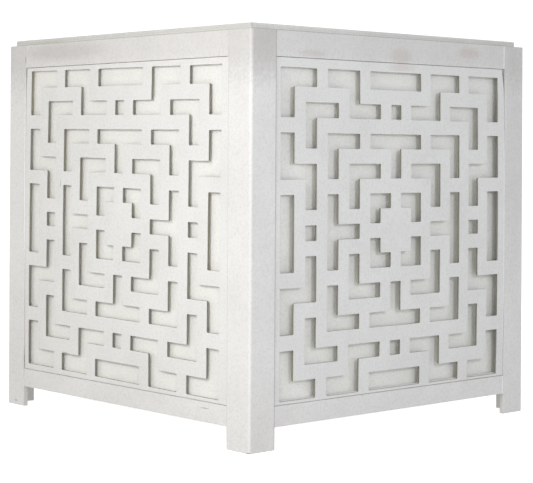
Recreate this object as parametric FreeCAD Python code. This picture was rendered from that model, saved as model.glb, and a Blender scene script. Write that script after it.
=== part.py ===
import FreeCAD, Part
import os

# Square fretwork planter: a stand of thin painted boards with a lattice panel in each
# side, and a plain liner box that lifts out of the top. Millimetres, +Z up, the origin
# on the floor under the middle of the stand. The front is -Y and the right side is +X.

os.makedirs("parts", exist_ok=True)

# The stand: four angle posts, whose lower ends are the feet, and a rail above and below
stand_width = 500.0
post_height = 494.0
post_face = 40.0
post_edge_radius = 3.6
frame_board = 6.0
foot_height = 27.0
top_rail_face = 31.0
bottom_rail_face = 24.5

# Stub tongues on the rails, and the mortises in the posts that they are glued into
tongue_length = 16.0
tongue_thickness = 2.0
tongue_shoulder = 5.0
mortise_play = 0.1

# Rebate round each opening of the stand, and the fretwork panel glued into it
lip_width = 5.0
fret_thickness = 2.8
fret_recess = 1.2
fret_play = 0.4

# The lattice: a chart of cells, with wider ones along the panel's edges
side_border = 9.6
end_border = 5.4
edge_cell = 22.7
cells_across = 21

# Bearers inside the bottom rails, which the liner stands on, and the brads that hold them
bearer_depth = 14.0
bearer_height = 15.0
bearer_drop = 6.5
brads_per_bearer = 5
brad_inset = 8.0
brad_length = 18.0
brad_width = 1.4
brad_thickness = 1.1
brad_head_width = 2.4
brad_head_height = 1.2
brad_point_length = 2.0

# The liner: four mitred walls, a floor housed in their grooves, and corner blocks
liner_play = 1.0
liner_rise = 7.6
liner_wall = 8.0
rim_edge_radius = 1.2
floor_thickness = 8.0
floor_raise = 10.0
groove_depth = 3.0
floor_play = 0.2
corner_block = 18.0
block_below_rim = 70.0

# Cutters run past the faces they cut by this much
overrun = 5.0

# Places that several pieces share
half_width = stand_width / 2
inner_face = half_width - frame_board
post_inner_edge = half_width - post_face
opening_width = 2 * post_inner_edge
opening_bottom = foot_height + bottom_rail_face
opening_top = post_height - top_rail_face
opening_height = opening_top - opening_bottom
lip_front = half_width - fret_recess - fret_thickness
tongue_front = half_width - (frame_board - tongue_thickness) / 2
bearer_top = opening_bottom - bearer_drop
bearer_inner_face = inner_face - bearer_depth
liner_half = inner_face - liner_play
liner_bottom = bearer_top
rim_top = post_height + liner_rise

# Each side of the stand is the front one turned about +Z, and so is each corner
sides = {"front": 0, "right": 90, "back": 180, "left": 270}
corners = {"front_right": 0, "back_right": 90, "back_left": 180, "front_left": 270}


def block(low, high):
    """A box from its lowest corner to its highest."""
    size = [top - bottom for bottom, top in zip(low, high)]
    return Part.makeBox(*size, FreeCAD.Vector(*low))


def turned(shape, degrees):
    """A copy of a front piece, turned about the stand's middle."""
    copy = shape.copy()
    copy.rotate(FreeCAD.Vector(0, 0, 0), FreeCAD.Vector(0, 0, 1), degrees)
    return copy


def save(name, shape):
    """Write one node and say how large it is."""
    shape.exportStep("parts/" + name + ".step")
    print(name, len(shape.Solids), "solids", round(shape.Volume), "mm3", shape.isValid())


def rail_tongue(edge_x, direction, rail_bottom, rail_face, play):
    """The stub tongue at one end of a front rail, or with play the mortise it fits."""
    end_x = edge_x + direction * (tongue_length + play)
    start_x = edge_x - direction * (overrun if play else 0)
    low_z = rail_bottom + tongue_shoulder - play
    high_z = rail_bottom + rail_face - tongue_shoulder + play
    low = (min(start_x, end_x), -tongue_front - play, low_z)
    high = (max(start_x, end_x), -tongue_front + tongue_thickness + play, high_z)
    return block(low, high)


def brad():
    """A brad driven along -Y with its head at the origin: flat wire, a T head, a chisel point."""
    half_head = brad_head_width / 2
    half_shank = brad_width / 2
    outline = [
        (-half_head, 0),
        (half_head, 0),
        (half_head, -brad_head_height),
        (half_shank, -brad_head_height),
        (half_shank, brad_point_length - brad_length),
        (0, -brad_length),
        (-half_shank, brad_point_length - brad_length),
        (-half_shank, -brad_head_height),
        (-half_head, -brad_head_height),
    ]
    points = [FreeCAD.Vector(x, y, -brad_thickness / 2) for x, y in outline]
    face = Part.Face(Part.makePolygon(points + points[:1]))
    return face.extrude(FreeCAD.Vector(0, 0, brad_thickness))


def bearer_brads():
    """The row of brads in the front bearer: the end ones go into the posts."""
    row = []
    reach = post_inner_edge + brad_inset
    height = bearer_top - bearer_height / 2
    for number in range(brads_per_bearer):
        x = -reach + 2 * reach * number / (brads_per_bearer - 1)
        one = brad()
        one.translate(FreeCAD.Vector(x, -bearer_inner_face, height))
        row.append(one)
    return row


# The brads of all four sides. Each makes its own hole in the wood that it is driven into.
all_brads = Part.makeCompound([turned(one, degrees) for degrees in sides.values() for one in bearer_brads()])


def make_post():
    """The front right post: an angle of two boards with a rounded outer edge."""
    angle = block((post_inner_edge, -half_width, 0), (half_width, -post_inner_edge, post_height))
    outer = [
        edge
        for edge in angle.Edges
        if all(abs(v.X - half_width) + abs(v.Y + half_width) < post_edge_radius for v in edge.Vertexes)
    ]
    angle = angle.makeFillet(post_edge_radius, outer)
    hollow = block(
        (post_inner_edge - overrun, -inner_face, -overrun),
        (inner_face, -post_inner_edge + overrun, post_height + overrun),
    )
    angle = angle.cut(hollow)

    # The lips behind the panels stop where the rails' own lips begin
    lip_low = opening_bottom + lip_width
    lip_high = opening_top - lip_width
    front_lip = block(
        (post_inner_edge - lip_width, -lip_front, lip_low), (post_inner_edge, -inner_face, lip_high)
    )
    side_lip = block(
        (inner_face, -post_inner_edge, lip_low), (lip_front, -post_inner_edge + lip_width, lip_high)
    )
    post = angle.fuse([front_lip, side_lip]).removeSplitter()

    # Mortises for the ends of the front rails, and the same for the right side's rails
    mortises = []
    for bottom, face in ((opening_top, top_rail_face), (foot_height, bottom_rail_face)):
        mortises.append(rail_tongue(post_inner_edge, 1, bottom, face, mortise_play))
        mortises.append(turned(rail_tongue(-post_inner_edge, -1, bottom, face, mortise_play), 90))
    return post.cut(Part.makeCompound(mortises)).cut(all_brads)


def make_rail(bottom, face, lip_low, lip_high):
    """A front rail: a board with a lip behind the panel and a stub tongue at each end."""
    board = block((-post_inner_edge, -half_width, bottom), (post_inner_edge, -inner_face, bottom + face))
    lip = block((-post_inner_edge, -lip_front, lip_low), (post_inner_edge, -inner_face, lip_high))
    right_tongue = rail_tongue(post_inner_edge, 1, bottom, face, 0)
    left_tongue = rail_tongue(-post_inner_edge, -1, bottom, face, 0)
    return board.fuse([lip, right_tongue, left_tongue]).removeSplitter().cut(all_brads)


def chart_openings():
    """The lattice's openings, as legs from cell to cell of the chart.

    A cell is (column, row), counted from a corner of the panel, and each opening repeats
    in its mirrored places.
    """
    nested_corners = [[((n, n + 2), (n, n)), ((n, n), (n + 2, n))] for n in (0, 2, 4, 6)]
    heart_corner = [((8, 9), (8, 8)), ((8, 8), (9, 8))]
    zigzag = [((4, 0), (6, 0)), ((6, 0), (6, 2)), ((6, 2), (8, 2))]
    edge_bar = [((8, 0), (12, 0))]
    single_cell = [((10, 2), (10, 2))]
    tee = [((8, 4), (12, 4)), ((10, 4), (10, 6))]
    return nested_corners + [heart_corner, zigzag, edge_bar, single_cell, tee]


def mirrored(legs):
    """The copies of an opening in the chart's eight mirrored places, each one once."""
    last = cells_across - 1
    copies = {}
    for swap in (False, True):
        for flip_column in (False, True):
            for flip_row in (False, True):
                copy = []
                for leg in legs:
                    cells = [cell[::-1] if swap else cell for cell in leg]
                    cells = [(last - c if flip_column else c, last - r if flip_row else r) for c, r in cells]
                    copy.append(tuple(sorted(cells)))
                copies[frozenset(copy)] = copy
    return copies.values()


def grid_lines(start, length, border):
    """The places of the chart's cell edges along one direction of the panel."""
    cell = (length - 2 * border - 2 * edge_cell) / (cells_across - 2)
    lines = [start + border]
    for number in range(cells_across):
        at_edge = number in (0, cells_across - 1)
        lines.append(lines[-1] + (edge_cell if at_edge else cell))
    return lines


def make_fret_panel():
    """The front lattice panel: one thin board with the chart's openings sawn through it."""
    front = -half_width + fret_recess
    back = front + fret_thickness
    low = (-post_inner_edge + fret_play, front, opening_bottom + fret_play)
    high = (post_inner_edge - fret_play, back, opening_top - fret_play)
    columns = grid_lines(-post_inner_edge, opening_width, side_border)
    rows = grid_lines(opening_bottom, opening_height, end_border)
    cutters = []
    for opening in chart_openings():
        for legs in mirrored(opening):
            boxes = []
            for start, end in legs:
                first_column, last_column = sorted((start[0], end[0]))
                first_row, last_row = sorted((start[1], end[1]))
                boxes.append(
                    block(
                        (columns[first_column], front - overrun, rows[first_row]),
                        (columns[last_column + 1], back + overrun, rows[last_row + 1]),
                    )
                )
            cutters.append(boxes[0].fuse(boxes[1:]).removeSplitter() if len(boxes) > 1 else boxes[0])
    return block(low, high).cut(Part.makeCompound(cutters))


def make_bearer(half_length):
    """The bearer glued and bradded inside the front's bottom rail."""
    low = (-half_length, -inner_face, bearer_top - bearer_height)
    high = (half_length, -bearer_inner_face, bearer_top)
    return block(low, high).cut(all_brads)


def make_liner_wall():
    """The liner's front wall: mitred at both ends and grooved for the floor."""
    inner_half = liner_half - liner_wall
    outline = [
        (-liner_half, -liner_half),
        (liner_half, -liner_half),
        (inner_half, -inner_half),
        (-inner_half, -inner_half),
    ]
    points = [FreeCAD.Vector(x, y, liner_bottom) for x, y in outline]
    face = Part.Face(Part.makePolygon(points + points[:1]))
    wall = face.extrude(FreeCAD.Vector(0, 0, rim_top - liner_bottom))
    top_edges = [
        edge
        for edge in wall.Edges
        if all(v.Z > rim_top - rim_edge_radius for v in edge.Vertexes)
        and abs(edge.Vertexes[0].Y - edge.Vertexes[1].Y) < rim_edge_radius
    ]
    wall = wall.makeFillet(rim_edge_radius, top_edges)
    groove_low = liner_bottom + floor_raise
    groove = block(
        (-liner_half, -inner_half - groove_depth, groove_low),
        (liner_half, -inner_half + overrun, groove_low + floor_thickness),
    )
    return wall.cut(groove)


def make_liner_floor():
    """The liner's floor, a square board whose edges are housed in the walls' grooves."""
    half = liner_half - liner_wall + groove_depth - floor_play
    low_z = liner_bottom + floor_raise
    return block((-half, -half, low_z), (half, half, low_z + floor_thickness))


def make_corner_block():
    """The glue block in the liner's front right corner, a three-sided strip."""
    inner_half = liner_half - liner_wall
    low_z = liner_bottom + floor_raise + floor_thickness
    outline = [
        (inner_half, -inner_half),
        (inner_half, -inner_half + corner_block),
        (inner_half - corner_block, -inner_half),
    ]
    points = [FreeCAD.Vector(x, y, low_z) for x, y in outline]
    face = Part.Face(Part.makePolygon(points + points[:1]))
    return face.extrude(FreeCAD.Vector(0, 0, rim_top - block_below_rim - low_z))


post = make_post()
corner_strip = make_corner_block()
for corner, degrees in corners.items():
    save("post_" + corner, turned(post, degrees))
    save("liner_corner_block_" + corner, turned(corner_strip, degrees))

top_rail = make_rail(opening_top, top_rail_face, opening_top - lip_width, opening_top)
bottom_rail = make_rail(foot_height, bottom_rail_face, opening_bottom, opening_bottom + lip_width)
fret_panel = make_fret_panel()
liner_wall_board = make_liner_wall()
for side, degrees in sides.items():
    # The front and back bearers run wall to wall, and the other two fit between them
    bearer_half = inner_face if side in ("front", "back") else bearer_inner_face
    save("top_rail_" + side, turned(top_rail, degrees))
    save("bottom_rail_" + side, turned(bottom_rail, degrees))
    save("fret_panel_" + side, turned(fret_panel, degrees))
    save("bearer_" + side, turned(make_bearer(bearer_half), degrees))
    save("liner_wall_" + side, turned(liner_wall_board, degrees))

save("liner_floor", make_liner_floor())
save("bearer_brads", all_brads)
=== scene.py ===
import bmesh
import bpy
from math import cos, pi, radians, sin
from mathutils import Matrix, Vector, noise
from mathutils.bvhtree import BVHTree


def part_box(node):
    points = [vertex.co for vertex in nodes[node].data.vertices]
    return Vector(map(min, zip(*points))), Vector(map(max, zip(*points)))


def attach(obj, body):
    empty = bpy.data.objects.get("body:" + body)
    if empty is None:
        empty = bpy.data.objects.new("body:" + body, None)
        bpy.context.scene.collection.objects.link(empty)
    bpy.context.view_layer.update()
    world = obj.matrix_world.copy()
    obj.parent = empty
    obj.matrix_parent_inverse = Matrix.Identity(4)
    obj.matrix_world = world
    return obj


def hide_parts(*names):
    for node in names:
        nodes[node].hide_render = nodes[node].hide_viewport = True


# A square white floor planter: a stand of thin painted boards with a lattice fretwork panel
# in each side, and a plain liner box standing in it. Metres, in the planter's own frame:
# +Z up, the front is -Y, the right side is +X.
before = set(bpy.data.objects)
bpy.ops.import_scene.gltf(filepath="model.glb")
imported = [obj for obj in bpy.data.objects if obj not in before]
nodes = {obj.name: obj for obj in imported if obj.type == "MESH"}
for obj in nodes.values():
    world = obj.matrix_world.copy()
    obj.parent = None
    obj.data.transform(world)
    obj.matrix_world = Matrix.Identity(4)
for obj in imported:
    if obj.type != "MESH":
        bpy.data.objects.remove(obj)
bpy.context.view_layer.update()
mm = 0.001

# The four corner posts. Each is an angle of two thin boards glued along one edge, planed
# round outside and painted in satin white enamel. The lower end is the foot.
corner_names = ("front_right", "back_right", "back_left", "front_left")
post_edge_ease = 0.5 * mm
shortest_eased_edge = 6 * mm
sharp_angle = radians(30)
uneased_angle = radians(50)
flat_angle = radians(1)
merge_distance = 0.01 * mm

soiled_patch = 70 * mm
speck_size = 3 * mm
streak_length = 60 * mm
streak_width = 1.2 * mm
streak_relief = 0.12 * mm
speck_relief = 0.15 * mm
blot_grain = 5 * mm
blot_softness = 0.5
enamel_ior = 1.48


def linear(hex_colour):
    """The linear colour, with alpha, of an sRGB hex value."""
    channels = [int(hex_colour[place:place + 2], 16) / 255 for place in (1, 3, 5)]
    return [c / 12.92 if c <= 0.04045 else ((c + 0.055) / 1.055) ** 2.4 for c in channels] + [1.0]


def add(tree, kind, inputs=(), **settings):
    """A node of the tree with its settings, and its inputs as values or as sockets to link."""
    node = tree.nodes.new(kind)
    for name, value in settings.items():
        setattr(node, name, value)
    for socket, value in dict(inputs).items():
        if isinstance(value, bpy.types.NodeSocket):
            tree.links.new(value, node.inputs[socket])
        else:
            node.inputs[socket].default_value = value
    return node


def blot(tree, place, reach, seed, ragged):
    """How strongly a mark covers a point, 0 to 1: a ragged blot of a half size at a place."""
    where = add(tree, "ShaderNodeTexCoord").outputs["Object"]
    shifted = add(tree, "ShaderNodeVectorMath", {0: where, 1: place}, operation="SUBTRACT").outputs[0]
    shares = add(tree, "ShaderNodeVectorMath", {0: shifted, 1: reach}, operation="DIVIDE").outputs[0]
    distance = add(tree, "ShaderNodeVectorMath", {0: shares}, operation="LENGTH").outputs["Value"]
    grain = add(tree, "ShaderNodeTexNoise", {"Vector": where, "Scale": 1 / blot_grain, "Detail": 4.0,
                                             "W": seed}, noise_dimensions="4D").outputs["Fac"]
    edge = add(tree, "ShaderNodeMath", {0: grain, 1: ragged, 2: distance},
               operation="MULTIPLY_ADD").outputs[0]
    outside = 1 + ragged / 2
    return add(tree, "ShaderNodeMapRange", {"Value": edge, "From Min": outside - blot_softness,
                                            "From Max": outside, "To Min": 1.0, "To Max": 0.0}).outputs[0]


def stain(tree, colour, other, amount, cover):
    """The colour with another mixed over it, as strongly as cover says, times amount."""
    share = add(tree, "ShaderNodeMath", {0: cover, 1: amount}, operation="MULTIPLY").outputs[0]
    return add(tree, "ShaderNodeMix", {0: share, 6: colour, 7: other}, data_type="RGBA").outputs[2]


def satin_paint(name, colour, marks=(), along=(1, 1, 1)):
    """Satin enamel, brushed on wood: it gives the eye a soft white sheen with faint brush drag and specks.

    A mark is its place and its half size in millimetres, its tone, its strength and how ragged it is.
    """
    material = bpy.data.materials.new(name)
    material.use_nodes = True
    tree = material.node_tree
    shader = tree.nodes["Principled BSDF"]
    where = add(tree, "ShaderNodeTexCoord").outputs["Object"]

    # Soiling in broad soft patches, a hand's breadth across
    patches = add(tree, "ShaderNodeTexNoise", {"Vector": where, "Scale": 1 / soiled_patch, "Detail": 5.0,
                                               "Roughness": 0.6}).outputs["Fac"]
    soiled = add(tree, "ShaderNodeMapRange", {"Value": patches, "From Min": 0.42,
                                              "From Max": 0.75}).outputs[0]
    shade = stain(tree, linear(colour), linear("#8f8a80"), 0.10, soiled)

    # Specks and grit in the film, drawn at 3 mm, coarser than they are, so that they show
    specks = add(tree, "ShaderNodeTexNoise", {"Vector": where, "Scale": 1 / speck_size, "Detail": 3.0,
                                              "Roughness": 0.7}).outputs["Fac"]
    speckled = add(tree, "ShaderNodeMapRange", {"Value": specks, "From Min": 0.45,
                                                "From Max": 0.75}).outputs[0]
    shade = stain(tree, shade, linear("#8f8b83"), 0.20, speckled)

    # Drag of the brush along the board, in streaks a little over 1 mm wide and 60 mm long
    lay = [1 / streak_length if direction else 1 / streak_width for direction in along]
    dragged = add(tree, "ShaderNodeMapping", {"Vector": where, "Scale": lay}).outputs[0]
    drag = add(tree, "ShaderNodeTexNoise", {"Vector": dragged, "Scale": 1.0, "Detail": 3.0}).outputs["Fac"]
    streaked = add(tree, "ShaderNodeMapRange", {"Value": drag, "From Min": 0.5, "From Max": 0.8}).outputs[0]
    shade = stain(tree, shade, linear("#a39e94"), 0.04, streaked)

    for number, (place, reach, tone, strength, ragged) in enumerate(marks):
        centre = [size * mm for size in place]
        half = [size * mm for size in reach]
        shade = stain(tree, shade, linear(tone), strength, blot(tree, centre, half, float(number), ragged))

    tree.links.new(shade, shader.inputs["Base Color"])
    gloss = add(tree, "ShaderNodeMapRange", {"Value": patches, "To Min": 0.30, "To Max": 0.45}).outputs[0]
    tree.links.new(gloss, shader.inputs["Roughness"])
    relief = add(tree, "ShaderNodeBump", {"Height": drag, "Strength": 0.15,
                                          "Distance": streak_relief}).outputs[0]
    pitted = add(tree, "ShaderNodeBump", {"Height": specks, "Strength": 0.3, "Distance": speck_relief,
                                          "Normal": relief}).outputs[0]
    tree.links.new(pitted, shader.inputs["Normal"])
    shader.inputs["IOR"].default_value = enamel_ior
    return material


def eased_copy(node_name, name, ease, paint, body, warp=None):
    """A piece in a node's place, with its long sharp edges eased as paint and sanding leave them."""
    mesh = bpy.data.meshes.new(name)
    form = bmesh.new()
    form.from_mesh(nodes[node_name].data)
    bmesh.ops.remove_doubles(form, verts=form.verts, dist=merge_distance)
    bmesh.ops.dissolve_limit(form, angle_limit=flat_angle, verts=form.verts, edges=form.edges)
    sharp = [edge for edge in form.edges if edge.is_manifold and edge.calc_face_angle() > sharp_angle
             and edge.calc_length() > shortest_eased_edge]
    bmesh.ops.bevel(form, geom=sharp, offset=ease, segments=2, profile=0.5, affect="EDGES",
                    material=-1, clamp_overlap=True)
    if warp:
        warp(form)
    for face in form.faces:
        face.smooth = True
    for edge in form.edges:
        edge.smooth = not (edge.is_manifold and edge.calc_face_angle() > uneased_angle)
    form.to_mesh(mesh)
    form.free()
    piece = bpy.data.objects.new(name, mesh)
    bpy.context.scene.collection.objects.link(piece)
    piece.modifiers.new("flat_faces_stay_flat", "WEIGHTED_NORMAL").keep_sharp = True
    mesh.materials.append(paint)
    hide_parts(node_name)
    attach(piece, body)


# Where hands and dust have been, and where shade is painted in: painted shade that darkens the posts
# towards the top, dirt in the hairlines at the near corner, a painted shadow in the gap behind the
# sprung panel, white filler and dirt in the far left joint, painted shade on the right side's posts,
# and a scuff and a chip at the feet. Places in millimetres.
everywhere = 4000
post_marks = [
    # Painted shade: the posts darker towards the top
    ((0, 0, 500), (everywhere, everywhere, 75), "#8f8b84", 0.25, 0.9),
    ((250, -210.4, 250), (3, 0.5, 600), "#86837d", 0.75, 0.5),
    # Painted shadow: a dark patch on the post's lip, in the gap behind the sprung right panel
    ((245.5, 207.5, 452), (1.6, 3.5, 16), "#3f3d38", 0.90, 0.3),
    ((210.4, -250, 250), (0.5, 3, 600), "#a9a59c", 0.35, 0.9),
    ((-210.5, -250, 474), (0.8, 3, 7), "#5f5c54", 0.90, 0.9),
    ((-211.2, -250, 310), (1.4, 3, 150), "#ffffff", 0.90, 0.7),
    ((-210.5, -250, 62), (0.7, 3, 26), "#77746b", 0.70, 0.8),
    ((-229, -250, 6), (6, 3, 1.0), "#8b867b", 0.60, 0.6),
    # Painted shade: the right side of the near post darker at its top, and of the far post down its length
    ((250, -230, 494), (4, 40, 70), "#8f8b84", 0.16, 0.9),
    ((250, 232, 330), (4, 30, 190), "#8f8b84", 0.15, 0.9),
    ((248, -249, 0), (4, 3, 1.8), "#4a463e", 0.85, 0.5),
]

# Satin enamel brushed on upright: a soft sheen, and streaks that run down the post
upright_paint = satin_paint("satin_enamel_on_posts", "#e9e8e5", post_marks, along=(0, 0, 1))
for corner in corner_names:
    post = "post_" + corner
    eased_copy(post, "painted_" + post, post_edge_ease, upright_paint, "stand")

# The rails above and below each opening: boards let into the posts with stub tongues, flush
# with them and painted over, so that each joint is only a hairline.
rail_edge_ease = 0.35 * mm

# Painted shade darkening the rails towards the top, painted shade over the front's upper left and a
# scuff at the front; warm stains and white filler at the right
# Painted shade: the rails darker towards the top
painted_rail_top_shade = ((0, 0, 500), (everywhere, everywhere, 60), "#8f8b84", 0.16, 0.9)
front_rail_marks = [
    painted_rail_top_shade,
    # Painted shade: the upper left of the front rail darker
    ((-120, -250, 482), (110, 4, 14), "#8f8b84", 0.20, 0.9),
    ((171, -250, 44), (9, 3, 0.9), "#8b877d", 0.55, 0.8),
]
right_rail_marks = [
    painted_rail_top_shade,
    ((250, 5, 472), (4, 24, 12), "#a98f7c", 0.20, 0.9),
    ((250, 136, 481), (4, 25, 9), "#b08f80", 0.22, 0.9),
    ((250, -151, 469), (4, 27, 5), "#a99486", 0.18, 0.9),
    ((250, 208.2, 478), (3, 0.9, 40), "#ffffff", 0.90, 0.9),
    ((250, 208.2, 40), (3, 0.9, 40), "#ffffff", 0.90, 0.9),
]

# The same enamel, brushed along the rails, so that its streaks lie level
rail_paints = {
    "front": satin_paint("satin_enamel_on_front_rails", "#e9e8e5", front_rail_marks, along=(1, 0, 0)),
    "right": satin_paint("satin_enamel_on_right_rails", "#e9e8e5", right_rail_marks, along=(0, 1, 0)),
}
rail_paints["back"] = rail_paints["front"]
rail_paints["left"] = rail_paints["right"]
for side, paint in rail_paints.items():
    for level in ("top", "bottom"):
        rail = level + "_rail_" + side
        eased_copy(rail, "painted_" + rail, rail_edge_ease, paint, "stand")

# The fretwork panels: thin boards with a traditional lattice of right-angled openings cut out
# by hand with a fretsaw, glued onto the lips of the stand, a little bowed, and painted.
side_turns = {"front": 0, "right": 90, "back": 180, "left": 270}
inner_corner_radius = 1.0 * mm
fret_edge_ease = 0.35 * mm
saw_wander = 0.35 * mm
saw_wander_span = 30 * mm
edge_margin = 0.5 * mm
least_thickness = 1 * mm
probe_lead = 10 * mm
probe_reach = 20 * mm
cut_face_angle = radians(60)

# Each lattice was marked out and sawn by hand, so it is a little off its panel's middle: how far
# along and up in millimetres, how many degrees turned clockwise, and its width and height as shares
fret_settings = {
    "front": (-1.8, -0.3, 0.54, 0.985, 0.994),
    "right": (-2.9, -4.1, 0.06, 0.992, 0.987),
    "back": (1.2, -0.8, -0.15, 0.998, 0.997),
    "left": (-0.7, 1.0, 0.2, 0.997, 1.0),
}

# How far each panel has bowed outwards at mid-height, at its left and at its right edge seen from outside
fret_bows = {
    "front": (1.3 * mm, 0.2 * mm),
    "right": (0.5 * mm, 2.1 * mm),
    "back": (0.6 * mm, 1.0 * mm),
    "left": (0.8 * mm, 0.4 * mm),
}

# Two panels have sprung at an upper corner: the left (-1) or the right (1) one, how far it has
# drawn away from the post, and how far down
sprung_corners = {"front": (-1, 1.7 * mm, 28 * mm), "right": (1, 4.2 * mm, 32 * mm)}
no_sprung_corner = (0, 0, 1)


def turned(side, front_direction):
    """A direction of the front side, turned round to another side."""
    return Matrix.Rotation(radians(side_turns[side]), 3, "Z") @ Vector(front_direction)


def fret_lines(axis):
    """The places of the lattice's lines along one axis of the front panel, edges included."""
    return sorted({round(v.co[axis], 5) for v in nodes["fret_panel_front"].data.vertices})


def lattice_sheet(columns, rows, face_y):
    """The front panel's face as a sheet of cells between the lattice's lines, its openings cut out."""
    form = bmesh.new()
    form.from_mesh(nodes["fret_panel_front"].data)
    wood = BVHTree.FromBMesh(form)
    form.clear()
    bmesh.ops.create_grid(form, x_segments=len(columns) - 1, y_segments=len(rows) - 1, size=0.5)
    for corner in form.verts:
        column = round((corner.co.x + 0.5) * (len(columns) - 1))
        row = round((corner.co.y + 0.5) * (len(rows) - 1))
        corner.co = Vector((columns[column], face_y, rows[row]))
    ahead = Vector((0, -probe_lead, 0))
    inwards = Vector((0, 1, 0))
    open_cells = [face for face in form.faces
                  if wood.ray_cast(face.calc_center_median() + ahead, inwards, probe_reach)[0] is None]
    bmesh.ops.delete(form, geom=open_cells, context="FACES")
    return form


def set_out_by_hand(form, side, columns, rows, middle):
    """Moves the lattice to where it was marked and sawn on this side, and springs the loose corner."""
    along, up, turn, width_share, height_share = fret_settings[side]
    hand, drawn_away, run = sprung_corners.get(side, no_sprung_corner)
    for corner in form.verts:
        if abs(corner.co.x) > columns[-1] - edge_margin:
            if corner.co.x * hand > 0:
                corner.co.x -= hand * drawn_away * max(0, 1 - (rows[-1] - corner.co.z) / run)
            continue
        if not rows[0] + edge_margin < corner.co.z < rows[-1] - edge_margin:
            continue
        place = corner.co - middle
        place = Vector((place.x * width_share, place.y, place.z * height_share))
        place.rotate(Matrix.Rotation(radians(turn), 3, "Y"))
        wander = noise.noise_vector(corner.co / saw_wander_span + Vector((0, side_turns[side], 0)))
        corner.co.x = middle.x + place.x + along * mm + saw_wander * wander.x
        corner.co.z = middle.z + place.z + up * mm + saw_wander * wander.z


def make_fret_panel(side):
    """One lattice panel, cut as the front one and turned to its side."""
    columns, rows = fret_lines(0), fret_lines(2)
    low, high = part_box("fret_panel_front")
    middle = (low + high) / 2
    form = lattice_sheet(columns, rows, low.y)
    set_out_by_hand(form, side, columns, rows, middle)
    bmesh.ops.recalc_face_normals(form, faces=form.faces)
    if sum(face.normal.y for face in form.faces) > 0:
        bmesh.ops.reverse_faces(form, faces=form.faces)
    thick = bmesh.ops.extrude_face_region(form, geom=form.faces[:])
    backs = [part for part in thick["geom"] if isinstance(part, bmesh.types.BMVert)]
    bmesh.ops.translate(form, verts=backs, vec=(0, high.y - low.y, 0))
    bmesh.ops.recalc_face_normals(form, faces=form.faces)

    # The saw's turns leave the inner corners a little round
    through = [edge for edge in form.edges if edge.is_manifold and edge.calc_face_angle() > cut_face_angle
               and abs(edge.verts[0].co.y - edge.verts[1].co.y) > least_thickness]
    bmesh.ops.bevel(form, geom=through, offset=inner_corner_radius, segments=3, profile=0.5,
                    affect="EDGES", material=-1, clamp_overlap=True)
    rims = [edge for edge in form.edges if edge.is_manifold and edge.calc_face_angle() > cut_face_angle]
    bmesh.ops.bevel(form, geom=rims, offset=fret_edge_ease, segments=2, profile=0.5,
                    affect="EDGES", material=-1, clamp_overlap=True)

    left_bow, right_bow = fret_bows[side]
    for corner in form.verts:
        across = (corner.co.x - middle.x) / (high.x - middle.x)
        up = (corner.co.z - middle.z) / (high.z - middle.z)
        corner.co.y -= (left_bow * (1 - across) + right_bow * (1 + across)) / 2 * (1 - up * up)
    quarter_turns = Matrix.Rotation(radians(side_turns[side]), 3, "Z")
    bmesh.ops.rotate(form, verts=form.verts, cent=(0, 0, 0), matrix=quarter_turns)
    out = turned(side, (0, -1, 0))
    for face in form.faces:
        face.smooth = True
        face.material_index = 1 if abs(face.normal.dot(out)) < cos(cut_face_angle) else 0
    name = "fretwork_" + side
    mesh = bpy.data.meshes.new(name)
    form.to_mesh(mesh)
    form.free()
    panel = bpy.data.objects.new(name, mesh)
    bpy.context.scene.collection.objects.link(panel)
    panel.modifiers.new("flat_faces_stay_flat", "WEIGHTED_NORMAL").keep_sharp = True
    return panel


# A small tear and two scratches in the front panel's paint, and on the right panel the smudge that
# runs down from the rail and the filler at its far edge
fret_marks = [
    ((-4, -250, 352), (0.9, 4, 4), "#6f6b60", 0.80, 0.6),
    ((-127, -250, 306), (0.8, 4, 8), "#8f8b81", 0.60, 0.8),
    ((-115, -250, 82), (10, 4, 0.9), "#8f8b81", 0.60, 0.8),
    ((250, 8, 458), (4, 30, 7), "#b09080", 0.18, 0.9),
    ((250, 208.8, 250), (4, 0.9, 190), "#ffffff", 0.90, 0.9),
]

# The stand's enamel again, brushed upright over the fretwork: flat faces that take the light evenly
fret_paint = satin_paint("satin_enamel_on_fretwork", "#e8e8e5", fret_marks, along=(0, 0, 1))

# The sawn edges of the openings took little paint and gathered dust, and they are painted darker still
# as painted shade for the shade inside the openings, so they show as grey bands that draw the lattice
# Thin paint and dust, and painted shade, on the sawn faces
sawn_edge_paint_and_shade = satin_paint("thin_paint_and_painted_shade_on_sawn_edges", "#8b887b", along=(0, 0, 1))
for side in side_turns:
    panel = make_fret_panel(side)
    panel.data.materials.append(fret_paint)
    panel.data.materials.append(sawn_edge_paint_and_shade)
    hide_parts("fret_panel_" + side)
    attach(panel, "stand")

# The bearers: square strips of softwood, glued and nailed inside the bottom rails. The liner
# stands on them.
bearer_ease = 0.6 * mm

# One thin coat of the white, since nobody sees them: duller and a little yellower than the posts
bearer_paint = satin_paint("thin_white_on_bearers", "#dedbd2", along=(1, 1, 0))
for side in side_turns:
    eased_copy("bearer_" + side, "strip_bearer_" + side, bearer_ease, bearer_paint, "stand")

# The brads in the bearers: cut from flat wire, with a small head struck at one end, zinc-plated
# and driven in with a hammer.
zinc_bloom_size = 1.5 * mm

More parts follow.
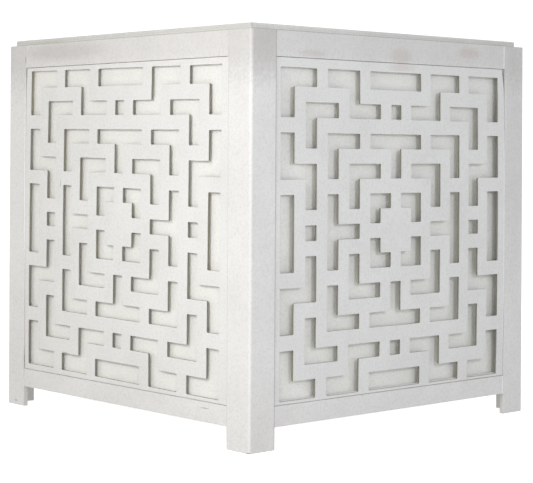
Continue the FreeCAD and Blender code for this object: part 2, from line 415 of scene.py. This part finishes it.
# Zinc plate that has dulled in patches: a soft grey metal sheen
brad_zinc = bpy.data.materials.new("zinc_plated_wire")
brad_zinc.use_nodes = True
zinc_tree = brad_zinc.node_tree
zinc_shader = zinc_tree.nodes["Principled BSDF"]
zinc_shader.inputs["Metallic"].default_value = 1.0
zinc_where = add(zinc_tree, "ShaderNodeTexCoord").outputs["Object"]
zinc_bloom = add(zinc_tree, "ShaderNodeTexNoise", {"Vector": zinc_where,
                                                   "Scale": 1 / zinc_bloom_size}).outputs["Fac"]
zinc_colour = add(zinc_tree, "ShaderNodeMix", {0: zinc_bloom, 6: linear("#b9b6ac"), 7: linear("#8d8a80")},
                  data_type="RGBA").outputs[2]
zinc_tree.links.new(zinc_colour, zinc_shader.inputs["Base Color"])
zinc_gloss = add(zinc_tree, "ShaderNodeMapRange", {"Value": zinc_bloom, "To Min": 0.3,
                                                   "To Max": 0.6}).outputs[0]
zinc_tree.links.new(zinc_gloss, zinc_shader.inputs["Roughness"])
nodes["bearer_brads"].data.materials.clear()
nodes["bearer_brads"].data.materials.append(brad_zinc)

# The liner: a plain box of boards mitred at the corners onto glue blocks, its floor let into
# grooves, painted ivory. It stands loose in the stand and lifts out.
liner_ease = 0.5 * mm

# The front wall is painted a little darker and its rim more, a line of dirt and painted shadow marks
# where the liner stands in the stand's mouth, the rim has yellowed at the left and is darker all round,
# and a painted shadow stands for the opened mitre at the far right corner
liner_marks = [
    # Darker over the front wall, and more along its rim
    ((0, -243, 250), (everywhere, 4, everywhere), "#8f8b83", 0.07, 0.6),
    ((0, -243, 500), (everywhere, 4, 5), "#8d8b80", 0.14, 0.6),
    # Dirt and painted shadow: a dark line just above the stand's mouth
    ((0, 0, 495.0), (everywhere, everywhere, 0.9), "#8f8c82", 0.45, 0.7),
    ((-170, -243, 496.6), (60, 4, 1.8), "#c9c79f", 0.30, 0.6),
    # Darker all round the rim
    ((0, 0, 500), (everywhere, everywhere, 5), "#8d8b84", 0.22, 0.5),
    # Painted shadow where the mitre at the far right corner has opened
    ((243, 242, 496.5), (3, 1.3, 3), "#4f4c45", 0.75, 0.5),
]

# Ivory satin paint: a little warmer than the stand's white, which sets the ground off from the lattice
liner_paint = satin_paint("satin_ivory_on_liner", "#f7f7f1", liner_marks, along=(1, 1, 0))

# The walls have warped at mid-height: outwards, at the left and at the right end seen from outside
wall_bows = {
    "front": (0.8 * mm, -0.6 * mm),
    "right": (0.3 * mm, -0.6 * mm),
    "back": (-0.5 * mm, 0.6 * mm),
    "left": (0.4 * mm, -0.8 * mm),
}
warp_cuts = 12
bow_reach_power = 8

# The box is a little out of square too: its right side has gone in, more at the back than at the front
front_corner_in = 1.2 * mm
back_corner_in = 4.0 * mm


def out_of_square(form):
    """What brings the right side of the box in."""
    low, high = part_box("liner_wall_right")
    for point in form.verts:
        onward = (point.co.y - low.y) / (high.y - low.y)
        rightward = max(0, point.co.x) / high.x
        point.co.x -= (front_corner_in + (back_corner_in - front_corner_in) * onward) * rightward


def warp_wall(side):
    """What bows one wall: it stays straight at its ends, its foot and its rim."""
    out = turned(side, (0, -1, 0))
    onward = turned(side, (1, 0, 0))
    low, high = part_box("liner_wall_" + side)
    half_length = (high - low).dot(Vector((abs(onward.x), abs(onward.y), 0))) / 2
    left_bow, right_bow = wall_bows[side]

    def warp(form):
        for cut in range(1, warp_cuts):
            across = (2 * cut / warp_cuts - 1) * half_length
            level = low.z + (high.z - low.z) * cut / warp_cuts
            for place, facing in ((onward * across, onward), (Vector((0, 0, level)), Vector((0, 0, 1)))):
                bmesh.ops.bisect_plane(form, geom=form.verts[:] + form.edges[:] + form.faces[:],
                                       plane_co=place, plane_no=facing)
        for point in form.verts:
            across = point.co.dot(onward) / half_length
            up = 2 * (point.co.z - low.z) / (high.z - low.z) - 1
            bow = (left_bow * (1 - across) + right_bow * (1 + across)) / 2
            point.co += out * bow * (1 - across ** bow_reach_power) * (1 - up * up)
        out_of_square(form)

    return warp


for side in side_turns:
    eased_copy("liner_wall_" + side, "ivory_wall_" + side, liner_ease, liner_paint, "liner",
               warp=warp_wall(side))
eased_copy("liner_floor", "ivory_floor", liner_ease, liner_paint, "liner", warp=out_of_square)
for corner in corner_names:
    block = "liner_corner_block_" + corner
    eased_copy(block, "glue_block_" + corner, liner_ease, liner_paint, "liner",
               warp=out_of_square)

# The studio: a pale paper floor that slopes up to a low rim all round. It is bright enough by itself
# to show white, and it throws no light on the planter.
floor_radius = 6.0
rim_run = 0.8
rim_height = 1.6
floor_facets = 96
seam_distance = 0.1 * mm

sweep_form = bmesh.new()
rim_point = sweep_form.verts.new((floor_radius, 0, rim_height))
toe_point = sweep_form.verts.new((floor_radius - rim_run, 0, 0))
centre_point = sweep_form.verts.new((0, 0, 0))
profile = [sweep_form.edges.new((rim_point, toe_point)), sweep_form.edges.new((toe_point, centre_point))]
bmesh.ops.spin(sweep_form, geom=[rim_point, toe_point, centre_point] + profile, cent=(0, 0, 0),
               axis=(0, 0, 1), angle=2 * pi, steps=floor_facets, use_merge=True)
bmesh.ops.remove_doubles(sweep_form, verts=sweep_form.verts, dist=seam_distance)
bmesh.ops.recalc_face_normals(sweep_form, faces=sweep_form.faces)
sweep_mesh = bpy.data.meshes.new("studio_sweep")
sweep_form.to_mesh(sweep_mesh)
sweep_form.free()
sweep = bpy.data.objects.new("studio_sweep", sweep_mesh)
bpy.context.scene.collection.objects.link(sweep)

# Matt white paper, lit from behind until it shows no edge
sweep_paper = bpy.data.materials.new("white_paper")
sweep_paper.use_nodes = True
paper_shader = sweep_paper.node_tree.nodes["Principled BSDF"]
paper_shader.inputs["Base Color"].default_value = linear("#f4f4f3")
paper_shader.inputs["Roughness"].default_value = 0.9
paper_shader.inputs["Emission Color"].default_value = linear("#ffffff")
paper_shader.inputs["Emission Strength"].default_value = 0.75
sweep_mesh.materials.append(sweep_paper)
sweep.visible_diffuse = False
sweep.visible_glossy = False

# The lights: three softboxes a little above the planter's height, three low ones that stand in for
# the light that comes back off the floor, one overhead, and two for the sides that the photograph
# doesn't show. Azimuth 0 is the front and 90 the right side.
lit_point = Vector((0, 0, 0.25))


def softbox(name, azimuth, elevation, distance, size, power, colour):
    """A square softbox that looks at the planter's middle: degrees, metres and watts."""
    lamp = bpy.data.lights.new(name, "AREA")
    lamp.size = size
    lamp.energy = power
    lamp.color = linear(colour)[:3]
    box = bpy.data.objects.new(name, lamp)
    turn, rise = radians(azimuth), radians(elevation)
    away = Vector((sin(turn) * cos(rise), -cos(turn) * cos(rise), sin(rise)))
    box.location = lit_point + away * distance
    box.rotation_euler = away.to_track_quat("Z", "Y").to_euler()
    bpy.context.scene.collection.objects.link(box)


softbox("left_softbox", -10, 22, 1.5, 0.35, 1.4, "#fff7ef")
softbox("front_softbox", 22, 17, 1.2, 0.3, 4.2, "#fdfcff")
softbox("right_softbox", 86, 16, 1.35, 0.3, 3.1, "#f0f3ff")
softbox("left_floor_bounce", -35, -10, 1.0, 0.4, 0.75, "#fffdf8")
softbox("front_floor_bounce", 45, -11, 1.1, 0.5, 1.8, "#fffdfb")
softbox("right_floor_bounce", 122, -10, 1.0, 0.4, 0.55, "#f8faff")
softbox("overhead_softbox", 30, 75, 1.6, 1.0, 0.6, "#ffffff")
softbox("back_softbox", 178, 20, 1.5, 0.5, 3.2, "#ffffff")
softbox("far_side_softbox", 268, 20, 1.5, 0.5, 3.2, "#ffffff")

world = bpy.data.worlds.new("studio")
world.use_nodes = True
world.node_tree.nodes["Background"].inputs["Color"].default_value = linear("#ffffff")
world.node_tree.nodes["Background"].inputs["Strength"].default_value = 0.46
bpy.context.scene.world = world
bpy.context.scene.view_settings.view_transform = "Standard"

# The camera stands where the photograph's stood, a little above the middle of the planter
camera = bpy.data.cameras.new("camera")
camera.sensor_width = 36
camera.lens = 109.8
camera.shift_x = 0.0798
camera.shift_y = -0.1834
viewer = bpy.data.objects.new("camera", camera)
viewer.location = (1.6454, -1.5136, 0.353)
viewer.rotation_euler = (radians(90.201), radians(-0.328), radians(48.783))
bpy.context.scene.collection.objects.link(viewer)
bpy.context.scene.camera = viewer
